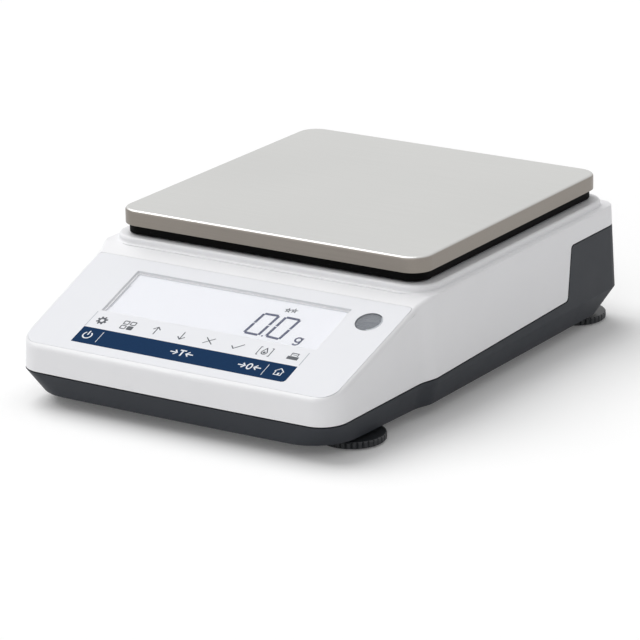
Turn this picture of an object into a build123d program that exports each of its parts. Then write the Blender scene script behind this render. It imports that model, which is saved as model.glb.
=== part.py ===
from build123d import *
import math
import os

# Precision balance with a 180 x 180 mm pan, in millimetres.
# +X is to the user's right, +Y is to the rear, +Z is up and Z = 0 is the bench.
# The origin is on the bench, below the middle of the housing.

# Weighing pan
PAN_SIZE = 180.0
PAN_SHEET = 1.0
PAN_SKIRT = 8.0
PAN_CORNER = 11.0
PAN_EDGE = 1.5
PAN_LIFT_GAP = 13.5          # pan top above the plateau

# Housing, outside
PAN_REAR_MARGIN = 6.65       # pan to rear wall
PANEL_RUN = 85.65            # front wall to pan
PLATEAU_MARGIN_X = 4.0       # plateau beyond the pan, at the sides
PLATEAU_MARGIN_Y = 2.5       # the same, at the front and rear
LEDGE_WIDTH = 5.0            # plateau to side wall
WAIST_DRAW = 3.0             # how far the sides step in ahead of the pan
FRONT_DRAW = 6.5             # how far they are drawn in at the front corners
STEP_AHEAD = 10.0            # start of the step ahead of the pan
STEP_RUN = 9.0               # length of the step along the side
STEP_HOLLOW_RADIUS = 20.0    # hollow round ahead of the step
STEP_CREST_RADIUS = 12.0     # crest round behind the step
FRONT_BULGE = 1.4            # apex of the slightly bowed front wall
FRONT_BULGE_SHARE = 0.94     # share of the front wall between its corners that is bowed
BOX_SHIFT = 0.5              # puts the origin in the middle with the bow counted
FRONT_CORNER = 14.0          # plan radius of the front corners
REAR_CORNER = 10.0           # plan radius of the rear corners
WALL = 2.5                   # wall of both mouldings
UNDERSIDE_Z = 6.5            # underside of the base above the bench
SEAM_Z = 17.8                # seam between the mouldings, at the front wall
SEAM_RISE = 0.024            # rise of the seam towards the rear, per mm
SEAM_GAP = 0.7               # shadow gap at the seam
BASE_TAPER = 3.4             # how far the base draws in at its underside
BASE_CORNER = 24.0           # plan radius of the corners at the underside
DRAFT = 2.0                  # draft of the side walls in degrees
LEDGE_Z = 62.0               # top edge of the side walls
TAIL_LENGTH = 56.65          # foot of the base's tall rear part, from the rear wall
TAIL_LEAN = 5.5              # how far the front of that part leans back
TAIL_Z = 51.0                # top of the tall rear part
TAIL_ROUND = 2.5             # corner rounds of its outline
TAIL_CHAMFER_Y = 14.0        # sloped cut below the rear wall, along Y
TAIL_CHAMFER_Z = 18.0        # the same cut, along Z
LIP_HEIGHT = 2.5             # locating lip of the base inside the top moulding
LIP_WALL = 1.3
LIP_CLEARANCE = 0.2

# Sloped panel
PANEL_SETBACK = 1.15         # front edge of the panel behind the front wall
PANEL_Z = 32.0
PANEL_TILT = 20.0            # degrees
PANEL_EDGE_RADIUS = 2.5      # round along the front and the sides of the panel
LEDGE_EDGE_RADIUS = 0.8      # round along the level ledge

# Raised plateau below the pan
PLATEAU_STEP = 3.5           # plateau above the ledge
PLATEAU_CORNER = 14.0
PLATEAU_EDGE = 1.4           # round of its top edge
PLATEAU_COVE = 1.2           # hollow round at its foot
POST_HOLE_RADIUS = 17.0      # hole that the load post passes through
COLLAR_WALL = 2.2
COLLAR_HEIGHT = 3.6

# Keypad film, window and display
FILM = 0.8                   # thickness of the film and of the window
FILM_FRONT = 1.8             # front edge of the film up the slope
FILM_REAR = 77.5             # rear edge of the film up the slope
FILM_FRONT_MARGIN = 2.3      # film to side wall at the front
FILM_REAR_MARGIN = 3.2       # film to side wall at the step
FILM_FRONT_CORNER = 9.0
FILM_REAR_CORNER = 2.5
FILM_CLEARANCE = 0.15
WINDOW_WIDTH = 126.0
WINDOW_HEIGHT = 33.9
WINDOW_S = 51.2              # middle of the window up the slope
WINDOW_LEDGE = 1.0           # shelf that carries the window pane
WINDOW_SHELF = 0.8           # its thickness, above the pocket for the display
POCKET_CLEARANCE = 0.5       # between the pocket and the display's frame
LCD_MARGIN = 3.0             # how far the glass reaches behind the shelf
LCD_THICKNESS = 2.4
FRAME_WALL = 1.8
FRAME_FLOOR = 3.0
BOARD = 1.6                  # thickness of the circuit boards
DISPLAY_TAB_X = 50.0
SMALL_BOSS_RADIUS = 3.0

# Level indicator
LEVEL_SIDE_MARGIN = 15.7     # its middle to the side wall at the front
LEVEL_S = 61.6               # its middle up the slope
LEVEL_HOLE_RADIUS = 7.0
LEVEL_TUBE_WALL = 2.0
LEVEL_TUBE_DROP = 7.7        # lower end of its tube below the panel
LEVEL_CUP_DEPTH = 5.3
LEVEL_CUP_WALL = 1.0
LEVEL_CUP_FLOOR = 1.2
LEVEL_CLEARANCE = 0.15
LEVEL_DOME = 0.8

# Pan support
SUPPORT_MARGIN = 2.0         # support's rim inside the pan's edge
SUPPORT_CORNER = 9.0
SUPPORT_RIM_GAP = 0.8        # lower edge of its rim above the plateau
SUPPORT_PLATE = 2.5
SUPPORT_RIB = 2.2
RIB_HEIGHT = 3.2
BUMPER_HEIGHT = 2.0
BUMPER_RADIUS = 5.0
BUMPER_STEM = 2.0
BUMPER_MARGIN = 22.0         # from the pan's edges
SKIRT_RING_GAP = 2.0         # between the collar and the support's skirt ring
SKIRT_RING_LIFT = 1.7        # skirt ring above the plateau
HUB_RADIUS = 13.0

# Load cell and what carries it
CHASSIS_LIFT = 5.0           # chassis above the floor
CHASSIS_PLATE = 4.0
CHASSIS_HALF_WIDTH = 45.0
CHASSIS_RIM = 5.0
CHASSIS_MARGIN = 8.0         # how far the chassis passes the load cell's free end
CHASSIS_SCREW_INSET = 8.0
SPACER = 3.0
CELL_LENGTH = 120.0
CELL_WIDTH = 30.0
CELL_HEIGHT = 22.0
CELL_HOLE_RADIUS = 8.8
CELL_HOLE_PITCH = 44.0
CELL_SLOT = 7.0
CELL_END = 20.0              # length of each clamped end
ARM_BOSS = 2.0
ARM_THICKNESS = 6.0
ARM_WIDTH = 26.0
POST_RADIUS = 10.0
SPIGOT_RADIUS = 5.0
SPIGOT_HEIGHT = 3.5
STOP_GAP = 0.5               # overload stop below the free end
FIT = 0.05                   # radial clearance of screws in their threads

# Screws, as shank radius
M6 = 3.0
M5 = 2.5
M4 = 2.0
M3 = 1.5

# Levelling feet
FOOT_SIDE_MARGIN = 19.0      # foot's middle to the side wall
FOOT_FRONT_MARGIN = 38.15    # the same, to the front wall
FOOT_REAR_MARGIN = 16.65     # the same, to the rear wall
WHEEL_RADIUS = 16.5
WHEEL_BOTTOM = 0.9
WHEEL_TOP = 4.4
WHEEL_NOTCHES = 36
NOTCH_WIDTH = 1.6
NOTCH_DEPTH = 0.7
PAD_RADIUS = 12.0
PAD_THICKNESS = 2.0
PAD_CLEARANCE = 0.3
FOOT_SCREW = 4.0             # M8 shank
FOOT_SCREW_SPARE = 3.0       # screw above its insert
INSERT_RADIUS = 5.6
INSERT_LENGTH = 12.0
FOOT_BOSS_RADIUS = 8.0
FOOT_RELIEF = 1.0            # depth of the round relief above each wheel's hub
FOOT_RELIEF_RADIUS = 9.0
HUB_STEP_RADIUS = 6.0
HUB_STEP = 1.2
FOOT_BOSS_HEIGHT = 13.0      # above the floor

# Main board and sockets
BOARD_LIFT = 18.0            # board above the floor
BOARD_HALF_WIDTH = 70.0
BOARD_DEPTH = 27.0
BOARD_REAR_MARGIN = 5.65     # board to rear wall
BOARD_SCREW_INSET = 4.0
POWER_X = -54.0
USB_X = -28.0
SERIAL_X = 14.0
LOCK_X = 60.0
SOCKET_CLEARANCE = 0.3

# Housing screws
BOSS_RADIUS = 4.4
SCREW_HEAD_RADIUS = 3.2
SCREW_HEAD = 2.4
SCREW_SEAT = 4.0             # depth from floor level up to the seat of the heads
FRONT_SCREW_X = 60.0
FRONT_SCREW_MARGIN = 11.5    # to the front wall
SIDE_SCREW_MARGIN = 11.0     # to the side wall
SIDE_SCREWS = (-40.0, 50.0)  # from the pan's middle

# Worked out from the sizes above
BODY_DEPTH = PANEL_RUN + PAN_SIZE + PAN_REAR_MARGIN
FRONT_Y = BOX_SHIFT - BODY_DEPTH / 2
REAR_Y = BOX_SHIFT + BODY_DEPTH / 2
PAN_Y = REAR_Y - PAN_REAR_MARGIN - PAN_SIZE / 2
PLATEAU_HALF_WIDTH = PAN_SIZE / 2 + PLATEAU_MARGIN_X
PLATEAU_HALF_DEPTH = PAN_SIZE / 2 + PLATEAU_MARGIN_Y
REAR_HALF_WIDTH = PLATEAU_HALF_WIDTH + LEDGE_WIDTH
WAIST_HALF_WIDTH = REAR_HALF_WIDTH - WAIST_DRAW
FRONT_HALF_WIDTH = REAR_HALF_WIDTH - FRONT_DRAW
STEP_Y = PAN_Y - PAN_SIZE / 2 - STEP_AHEAD
TAIL_Y = REAR_Y - TAIL_LENGTH
PANEL_Y = FRONT_Y + PANEL_SETBACK
PLATEAU_Z = LEDGE_Z + PLATEAU_STEP
PAN_TOP = PLATEAU_Z + PAN_LIFT_GAP
FILM_FRONT_HALF = FRONT_HALF_WIDTH - FILM_FRONT_MARGIN
FILM_REAR_HALF = WAIST_HALF_WIDTH - FILM_REAR_MARGIN
LEVEL_X = FRONT_HALF_WIDTH - LEVEL_SIDE_MARGIN
SUPPORT_SIZE = PAN_SIZE - 2 * SUPPORT_MARGIN
SUPPORT_RIM_Z = PLATEAU_Z + SUPPORT_RIM_GAP
SUPPORT_TOP = PAN_TOP - PAN_SHEET - BUMPER_HEIGHT
BUMPER_REACH = PAN_SIZE / 2 - BUMPER_MARGIN
SKIRT_RING_Z = PLATEAU_Z + SKIRT_RING_LIFT
POST_SHOULDER_Z = SUPPORT_TOP - SUPPORT_PLATE - SPIGOT_HEIGHT
DRAFT_RATE = math.tan(math.radians(DRAFT))
TILT = math.radians(PANEL_TILT)
FLOOR_Z = UNDERSIDE_Z + WALL
PANEL = Plane(origin=(0, PANEL_Y, PANEL_Z), x_dir=(1, 0, 0), z_dir=(0, -math.sin(TILT), math.cos(TILT)))
LCD_TOP = -FILM - WINDOW_SHELF
FRAME_TOP = LCD_TOP - LCD_THICKNESS
BOARD_TOP = FRAME_TOP - FRAME_FLOOR
LEVEL_Y = PANEL_Y + LEVEL_S * math.cos(TILT) + (FILM + WALL) / 2 * math.sin(TILT)
LEVEL_TUBE_Z = PANEL_Z + LEVEL_S * math.sin(TILT) - LEVEL_TUBE_DROP
LEVEL_CUP_TOP = LEVEL_TUBE_Z + LEVEL_CUP_DEPTH
CHASSIS_Z = FLOOR_Z + CHASSIS_LIFT
CHASSIS_TOP = CHASSIS_Z + CHASSIS_PLATE
CELL_Z = CHASSIS_TOP + SPACER
CELL_TOP = CELL_Z + CELL_HEIGHT
ARM_Z = CELL_TOP + ARM_BOSS
ARM_TOP = ARM_Z + ARM_THICKNESS
CELL_FRONT = PAN_Y - CELL_LENGTH / 2
CELL_REAR = PAN_Y + CELL_LENGTH / 2
FOOT_X = REAR_HALF_WIDTH - FOOT_SIDE_MARGIN
FOOT_FRONT_Y = FRONT_Y + FOOT_FRONT_MARGIN
FOOT_REAR_Y = REAR_Y - FOOT_REAR_MARGIN
FOOT_BOSS_TOP = FLOOR_Z + FOOT_BOSS_HEIGHT
FOOT_SCREW_TOP = FOOT_BOSS_TOP + FOOT_SCREW_SPARE
BOARD_Z = FLOOR_Z + BOARD_LIFT
BOARD_TOP_Z = BOARD_Z + BOARD
BOARD_REAR_Y = REAR_Y - BOARD_REAR_MARGIN
BOARD_FRONT_Y = BOARD_REAR_Y - BOARD_DEPTH
SCREW_SEAT_Z = FLOOR_Z + SCREW_SEAT
FEET = {
    "front_left": (-FOOT_X, FOOT_FRONT_Y),
    "front_right": (FOOT_X, FOOT_FRONT_Y),
    "rear_left": (-FOOT_X, FOOT_REAR_Y),
    "rear_right": (FOOT_X, FOOT_REAR_Y),
}
# Housing screws: place, and height at which the two bosses meet
SIDE_SCREW_X = REAR_HALF_WIDTH - SIDE_SCREW_MARGIN
HOUSING_SCREWS = [
    (-FRONT_SCREW_X, FRONT_Y + FRONT_SCREW_MARGIN, 22.0),
    (FRONT_SCREW_X, FRONT_Y + FRONT_SCREW_MARGIN, 22.0),
    (-SIDE_SCREW_X, PAN_Y + SIDE_SCREWS[0], 28.0),
    (SIDE_SCREW_X, PAN_Y + SIDE_SCREWS[0], 28.0),
    (-SIDE_SCREW_X, PAN_Y + SIDE_SCREWS[1], 30.0),
    (SIDE_SCREW_X, PAN_Y + SIDE_SCREWS[1], 30.0),
]

FAR = 400.0                  # larger than the balance, for cutting blocks


def block(x0, x1, y0, y1, z0, z1):
    """Box between two corners."""
    return Pos((x0 + x1) / 2, (y0 + y1) / 2, (z0 + z1) / 2) * Box(x1 - x0, y1 - y0, z1 - z0)


def rod(x, y, z0, z1, radius):
    """Upright cylinder."""
    return Pos(x, y, (z0 + z1) / 2) * Cylinder(radius, z1 - z0)


def panel_block(x0, x1, s0, s1, n0, n1):
    """Box in the frame of the sloped panel: across, up the slope, out of the surface."""
    return PANEL * block(x0, x1, s0, s1, n0, n1)


def panel_rod(x, s, n0, n1, radius):
    return PANEL * rod(x, s, n0, n1, radius)


def rounded_slab(width, depth, corner, z0, z1):
    """Upright slab with rounded corners about the pan's middle."""
    return Pos(0, PAN_Y, z0) * extrude(RectangleRounded(width, depth, corner), z1 - z0)


def outline(inset, front_corner, rear_corner, z):
    """Plan of the housing at one height: bowed front, flared sides, step and square rear."""
    front = FRONT_Y + inset
    rear = REAR_Y - inset
    front_half = FRONT_HALF_WIDTH - inset
    half_angle = math.atan(FRONT_BULGE / front_half)
    bow = FRONT_BULGE_SHARE * (front_half - front_corner) / math.tan(half_angle)
    right = [
        (front_half, front, front_corner),
        (WAIST_HALF_WIDTH - inset, STEP_Y, STEP_HOLLOW_RADIUS),
        (REAR_HALF_WIDTH - inset, STEP_Y + STEP_RUN, STEP_CREST_RADIUS),
        (REAR_HALF_WIDTH - inset, rear, rear_corner),
    ]
    left = [(-x, y, r) for x, y, r in reversed(right)]
    corners = right + left + [(0, front - FRONT_BULGE, bow)]
    line = FilletPolyline(*[(x, y) for x, y, r in corners], radius=[r for x, y, r in corners], close=True)
    return Pos(0, 0, z) * make_face(line)


def envelope(inset, bottom_z, top_z):
    """Whole outer form from the underside to the ledge, drawn in by the inset."""
    low = outline(inset + BASE_TAPER, BASE_CORNER, BASE_CORNER, bottom_z)
    middle = outline(inset, FRONT_CORNER - inset, REAR_CORNER - inset, SEAM_Z)
    drawn_in = inset + (top_z - SEAM_Z) * DRAFT_RATE
    high = outline(drawn_in, FRONT_CORNER - inset, REAR_CORNER - inset, top_z)
    form = loft([low, middle], ruled=True) + loft([middle, high], ruled=True)
    return form - tail_chamfer(inset)


def side_prism(points, radii=None):
    """Outline in Y and Z, carried across the whole width."""
    flat = [(y, z) for y, z in points]
    if radii is None:
        line = Polyline(*flat, close=True)
    else:
        line = FilletPolyline(*flat, radius=radii, close=True)
    face = Plane.YZ * make_face(line)
    return extrude(face, FAR / 2, both=True)


def tail_chamfer(inset):
    """Wedge below the rear wall."""
    slope = TAIL_CHAMFER_Z / TAIL_CHAMFER_Y
    shift = inset * (1 + slope) - inset * math.hypot(1, slope)
    wall_y = REAR_Y - inset
    high_z = UNDERSIDE_Z + TAIL_CHAMFER_Z + inset - shift
    run = (high_z + FAR / 8) / slope
    return side_prism([(wall_y, high_z), (wall_y + FAR / 8, high_z), (wall_y + FAR / 8, -FAR / 8), (wall_y - run, -FAR / 8)])


def below_seam(rise):
    """Everything under the seam line, raised and brought forward by the given amount."""
    tail_foot_z = SEAM_Z + SEAM_RISE * (TAIL_Y - FRONT_Y)
    front_z = SEAM_Z - SEAM_RISE * (FAR + FRONT_Y)
    points = [
        (-FAR, -FAR / 4),
        (-FAR, front_z + rise),
        (TAIL_Y - rise, tail_foot_z + rise),
        (TAIL_Y + TAIL_LEAN - rise, TAIL_Z + rise),
        (FAR, TAIL_Z + rise),
        (FAR, -FAR / 4),
    ]
    return side_prism(points, [0.1, 0.1, TAIL_ROUND, TAIL_ROUND, 0.1, 0.1])


def below_slope(drop):
    """Everything under the panel's plane, lowered square to it by the drop."""
    shift = drop / math.cos(TILT)
    rise = 2 * FAR * math.sin(TILT) / math.cos(TILT)
    front_z = PANEL_Z - shift - FAR * math.tan(TILT)
    points = [
        (PANEL_Y - FAR, -FAR),
        (PANEL_Y - FAR, front_z),
        (PANEL_Y + FAR, front_z + rise),
        (PANEL_Y + FAR, -FAR),
    ]
    return side_prism(points)


def plateau(inset, bottom_z):
    return footprint(-inset, bottom_z, PLATEAU_Z - inset)


def raised_plateau():
    """Plateau with a rounded top edge and a hollow round at its foot."""
    form = plateau(0, LEDGE_Z - 6)
    form = fillet(form.faces().sort_by(Axis.Z)[-1].edges(), PLATEAU_EDGE)
    cove = PLATEAU_COVE
    form += footprint(2 * cove, LEDGE_Z - 6, LEDGE_Z)
    ledge_face = [f for f in form.faces() if f.inner_wires() and abs(f.center().Z - LEDGE_Z) < 0.01][0]
    form = fillet(ledge_face.inner_wires()[0].edges(), cove)
    return form & footprint(cove, LEDGE_Z - 6, PLATEAU_Z)


def footprint(spread, z0, z1):
    """Slab in the plateau's plan, spread outwards."""
    return rounded_slab(
        2 * (PLATEAU_HALF_WIDTH + spread),
        2 * (PLATEAU_HALF_DEPTH + spread),
        PLATEAU_CORNER + spread,
        z0,
        z1,
    )


def film_face(clearance):
    """Outline of the keypad film in the panel's frame."""
    front = FILM_FRONT - clearance
    rear = FILM_REAR + clearance
    front_half = FILM_FRONT_HALF + clearance
    rear_half = FILM_REAR_HALF + clearance
    line = FilletPolyline(
        (-front_half, front),
        (front_half, front),
        (rear_half, rear),
        (-rear_half, rear),
        radius=[FILM_FRONT_CORNER, FILM_FRONT_CORNER, FILM_REAR_CORNER, FILM_REAR_CORNER],
        close=True,
    )
    return make_face(line)


def screw(x, y, seat_z, tip_z, radius, head_radius, head):
    """Screw with a cylinder head and a hexagon socket; the head is on the far side of the seat."""
    up = 1 if seat_z > tip_z else -1
    shank = rod(x, y, min(seat_z, tip_z), max(seat_z, tip_z), radius)
    top = rod(x, y, min(seat_z, seat_z + up * head), max(seat_z, seat_z + up * head), head_radius)
    socket_z = seat_z + up * head * 0.5
    key = Pos(x, y, min(socket_z, seat_z + up * head)) * extrude(RegularPolygon(head_radius * 0.5, 6), head * 0.5)
    return shank + top - key


def make_base_housing():
    outer = envelope(0, UNDERSIDE_Z, LEDGE_Z)
    inner = envelope(WALL, FLOOR_Z, LEDGE_Z)
    shell = (outer & below_seam(0)) - inner
    # Locating lip just inside the wall of the top moulding
    lip_out = envelope(WALL + LIP_CLEARANCE, FLOOR_Z, LEDGE_Z)
    lip_in = envelope(WALL + LIP_CLEARANCE + LIP_WALL, FLOOR_Z, LEDGE_Z)
    lip = (lip_out - lip_in) & (below_seam(LIP_HEIGHT) - below_seam(-LIP_HEIGHT))
    lip += (inner - lip_in) & (below_seam(-SEAM_GAP) - below_seam(-LIP_HEIGHT))
    shell += lip
    # Bosses for the feet, the housing screws, the chassis and the main board
    bosses = Part()
    for x, y in FEET.values():
        bosses += rod(x, y, UNDERSIDE_Z, FOOT_BOSS_TOP, FOOT_BOSS_RADIUS)
    for x, y, meet_z in HOUSING_SCREWS:
        bosses += rod(x, y, UNDERSIDE_Z, meet_z, BOSS_RADIUS)
    for x, y in chassis_screw_places():
        bosses += rod(x, y, UNDERSIDE_Z, CHASSIS_Z, BOSS_RADIUS)
    for x, y in board_screw_places():
        bosses += rod(x, y, UNDERSIDE_Z, BOARD_Z, SMALL_BOSS_RADIUS)
    # Stiffening ribs on the floor, clear of the chassis
    ribs = Part()
    rib_z = FLOOR_Z + RIB_HEIGHT
    for x in (-70.0, -54.0, 54.0, 70.0):
        ribs += block(x - 0.75, x + 0.75, FRONT_Y + 16, BOARD_FRONT_Y - 8, UNDERSIDE_Z, rib_z)
    for k in range(4):
        y = FRONT_Y + 28 + 22 * k
        ribs += block(-FRONT_HALF_WIDTH, FRONT_HALF_WIDTH, y - 0.75, y + 0.75, UNDERSIDE_Z, rib_z)
    shell += (bosses + ribs) & outer
    for x, y in FEET.values():
        shell -= rod(x, y, 0, UNDERSIDE_Z + FOOT_RELIEF, FOOT_RELIEF_RADIUS)
    for x, y in FEET.values():
        shell -= rod(x, y, 0, FOOT_BOSS_TOP - INSERT_LENGTH, FOOT_SCREW + 0.5)
        shell -= rod(x, y, FOOT_BOSS_TOP - INSERT_LENGTH, FOOT_BOSS_TOP, INSERT_RADIUS)
    for x, y, meet_z in HOUSING_SCREWS:
        shell -= rod(x, y, 0, SCREW_SEAT_Z, SCREW_HEAD_RADIUS + 0.4)
        shell -= rod(x, y, 0, meet_z, M3 + 0.4)
    for x, y in chassis_screw_places():
        shell -= rod(x, y, FLOOR_Z, CHASSIS_Z, M4 + FIT)
    for x, y in board_screw_places():
        shell -= rod(x, y, BOARD_Z - 10, BOARD_Z, M3 + FIT)
    return shell - rear_cutouts()


def chassis_screw_places():
    x = CHASSIS_HALF_WIDTH - CHASSIS_SCREW_INSET
    return [(sx * x, y) for sx in (-1, 1) for y in (CELL_FRONT + 2, CELL_REAR - 4)]


def board_screw_places():
    x = BOARD_HALF_WIDTH - BOARD_SCREW_INSET
    rows = (BOARD_FRONT_Y + BOARD_SCREW_INSET, BOARD_REAR_Y - BOARD_SCREW_INSET)
    return [(sx * x, y) for sx in (-1, 1) for y in rows]


def rear_cutouts():
    """Openings of the rear wall for the sockets and the lock slot."""
    c = SOCKET_CLEARANCE
    y0 = REAR_Y - 3 * WALL
    y1 = REAR_Y + WALL
    cut = block(POWER_X - 5 - c, POWER_X + 5 + c, y0, y1, BOARD_TOP_Z - c, BOARD_TOP_Z + 11 + c)
    cut += block(USB_X - 6 - c, USB_X + 6 + c, y0, y1, BOARD_TOP_Z - c, BOARD_TOP_Z + 11 + c)
    serial_z = BOARD_TOP_Z + 6.3
    shell_width = 16.9 + 2 * c
    cut += block(SERIAL_X - shell_width / 2, SERIAL_X + shell_width / 2, y0, y1, serial_z - 4.2 - c, serial_z + 4.2 + c)
    for side in (-1, 1):
        cut += Pos(SERIAL_X + side * 12.5, (y0 + y1) / 2, serial_z) * Rot(90, 0, 0) * Cylinder(2.9 + c, y1 - y0)
    slot = Plane.XZ * SlotOverall(7.0, 3.2)
    cut += Pos(LOCK_X, y1, BOARD_TOP_Z + 8) * extrude(slot, y1 - y0)
    return cut


def make_top_housing():
    tall = envelope(0, UNDERSIDE_Z, 2 * LEDGE_Z)
    sloped = tall & below_slope(0)
    panel_edges = [e for e in sloped.faces().filter_by(PANEL)[0].edges() if e.center().Y < 0]
    sloped = fillet(panel_edges, PANEL_EDGE_RADIUS)
    level = tall & block(-FAR, FAR, -FAR, FAR, 0, LEDGE_Z)
    level = fillet(level.faces().sort_by(Axis.Z)[-1].edges(), LEDGE_EDGE_RADIUS)
    outer = (sloped & level) - below_seam(SEAM_GAP)
    outer += raised_plateau()
    inner = envelope(WALL, FLOOR_Z, LEDGE_Z + 8) & below_slope(WALL) & block(-FAR, FAR, -FAR, FAR, 0, LEDGE_Z - WALL)
    inner += plateau(WALL, LEDGE_Z - 12)
    shell = outer - inner
    # Pocket for the film, shelf and opening for the window
    shell -= PANEL * extrude(film_face(FILM_CLEARANCE), -FILM)
    shell -= PANEL * extrude(film_face(FILM_CLEARANCE), FILM)
    half_w = WINDOW_WIDTH / 2 - WINDOW_LEDGE
    half_h = WINDOW_HEIGHT / 2 - WINDOW_LEDGE
    shell -= panel_block(-half_w, half_w, WINDOW_S - half_h, WINDOW_S + half_h, -3 * WALL, FILM)
    # Pocket from inside, which brings the display close below the window
    w, h = lcd_half_size()
    edge = FILM_CLEARANCE + FRAME_WALL + POCKET_CLEARANCE
    shell -= panel_block(-w - edge, w + edge, WINDOW_S - h - edge, WINDOW_S + h + edge, -FILM - 2 * WALL, LCD_TOP)
    # Bosses
    bosses = Part()
    for x, y, meet_z in HOUSING_SCREWS:
        bosses += rod(x, y, meet_z, PLATEAU_Z - WALL / 2, BOSS_RADIUS)
    for x, s in display_screw_places():
        bosses += panel_rod(x, s, BOARD_TOP, -FILM - WALL / 2, SMALL_BOSS_RADIUS)
    bosses += rod(LEVEL_X, LEVEL_Y, LEVEL_TUBE_Z, PLATEAU_Z, LEVEL_HOLE_RADIUS + LEVEL_TUBE_WALL)
    keep = (below_slope(FILM + WALL / 4) & block(-FAR, FAR, -FAR, FAR, 0, LEDGE_Z - WALL / 4))
    keep += plateau(WALL / 4, LEDGE_Z - 12)
    shell += bosses & keep & outer
    for x, y, meet_z in HOUSING_SCREWS:
        shell -= rod(x, y, meet_z, meet_z + 8, M3 + FIT)
    for x, s in display_screw_places():
        shell -= panel_rod(x, s, BOARD_TOP, BOARD_TOP + 4.3, M3 + FIT)
    # Level indicator: round hole square to the panel, upright tube under it
    shell -= panel_rod(LEVEL_X, LEVEL_S, -WALL - FILM, WALL, LEVEL_HOLE_RADIUS)
    shell -= rod(LEVEL_X, LEVEL_Y, 0, PLATEAU_Z, LEVEL_HOLE_RADIUS) & below_slope(FILM)
    # Hole and collar for the load post
    collar = rod(0, PAN_Y, PLATEAU_Z - WALL, PLATEAU_Z + COLLAR_HEIGHT, POST_HOLE_RADIUS + COLLAR_WALL)
    shell += collar
    shell -= rod(0, PAN_Y, 0, FAR / 2, POST_HOLE_RADIUS)
    return shell


def display_screw_places():
    reach = WINDOW_HEIGHT / 2 + LCD_MARGIN + FRAME_WALL + 3.5
    return [(sx * DISPLAY_TAB_X, WINDOW_S + ss * reach) for sx in (-1, 1) for ss in (-1, 1)]


def make_touch_film():
    sheet = PANEL * extrude(film_face(0), -FILM)
    w = WINDOW_WIDTH / 2 + FILM_CLEARANCE
    h = WINDOW_HEIGHT / 2 + FILM_CLEARANCE
    sheet -= panel_block(-w, w, WINDOW_S - h, WINDOW_S + h, -2 * FILM, FILM)
    return sheet - panel_rod(LEVEL_X, LEVEL_S, -2 * FILM, FILM, LEVEL_HOLE_RADIUS)


def make_display_window():
    w = WINDOW_WIDTH / 2
    h = WINDOW_HEIGHT / 2
    return panel_block(-w, w, WINDOW_S - h, WINDOW_S + h, -FILM, 0)


def lcd_half_size():
    return (WINDOW_WIDTH / 2 - WINDOW_LEDGE + LCD_MARGIN, WINDOW_HEIGHT / 2 - WINDOW_LEDGE + LCD_MARGIN)


def make_display_glass():
    w, h = lcd_half_size()
    return panel_block(-w, w, WINDOW_S - h, WINDOW_S + h, FRAME_TOP, LCD_TOP)


def make_display_frame():
    """Light box below the glass, with a rim round it."""
    w, h = lcd_half_size()
    c = FILM_CLEARANCE
    tray = panel_block(
        -w - c - FRAME_WALL, w + c + FRAME_WALL, WINDOW_S - h - c - FRAME_WALL, WINDOW_S + h + c + FRAME_WALL,
        BOARD_TOP, LCD_TOP - 0.4,
    )
    return tray - panel_block(-w - c, w + c, WINDOW_S - h - c, WINDOW_S + h + c, FRAME_TOP, LCD_TOP + 1)


def make_display_board():
    w, h = lcd_half_size()
    edge = FRAME_WALL + FILM_CLEARANCE
    board = panel_block(-w - edge, w + edge, WINDOW_S - h - edge, WINDOW_S + h + edge, BOARD_TOP - BOARD, BOARD_TOP)
    for x, s in display_screw_places():
        board += panel_block(x - 5, x + 5, min(s - 3.5, WINDOW_S), max(s + 3.5, WINDOW_S), BOARD_TOP - BOARD, BOARD_TOP)
    # Driver chip and cable connector on the underside
    under = BOARD_TOP - BOARD
    board += panel_block(-9, 9, WINDOW_S - 9, WINDOW_S + 9, under - 1.6, under)
    board += panel_block(-40, -20, WINDOW_S - 20, WINDOW_S - 15, under - 4, under)
    for x, s in display_screw_places():
        board -= panel_rod(x, s, under - 1, BOARD_TOP + 1, M3 + 0.2)
    return board


def make_display_screws():
    under = BOARD_TOP - BOARD
    return [PANEL * screw(x, s, under, BOARD_TOP + 3.8, M3, 2.6, 1.8) for x, s in display_screw_places()]


def make_level_cup():
    """Cup that holds the vial, glued into the tube of the top moulding."""
    radius = LEVEL_HOLE_RADIUS - LEVEL_CLEARANCE
    vial_radius = radius - LEVEL_CUP_WALL
    cup = rod(LEVEL_X, LEVEL_Y, LEVEL_TUBE_Z, LEVEL_CUP_TOP, radius)
    cup -= rod(LEVEL_X, LEVEL_Y, LEVEL_TUBE_Z + LEVEL_CUP_FLOOR, LEVEL_CUP_TOP, vial_radius)
    flange = rod(LEVEL_X, LEVEL_Y, LEVEL_TUBE_Z - 1.0, LEVEL_TUBE_Z, LEVEL_HOLE_RADIUS + LEVEL_TUBE_WALL)
    return cup + flange


def make_level_vial():
    """Clear vial with a domed top, below the level of the panel's hole."""
    radius = LEVEL_HOLE_RADIUS - LEVEL_CLEARANCE - LEVEL_CUP_WALL - LEVEL_CLEARANCE
    foot = LEVEL_TUBE_Z + LEVEL_CUP_FLOOR
    shoulder = LEVEL_CUP_TOP - 0.2
    profile = Polyline((0, foot), (radius, foot), (radius, shoulder), (0, shoulder + LEVEL_DOME))
    edge = Line((0, shoulder + LEVEL_DOME), (0, foot))
    face = Plane.XZ * make_face(profile + edge)
    return Pos(LEVEL_X, LEVEL_Y, 0) * revolve(face, Axis.Z)


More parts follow.
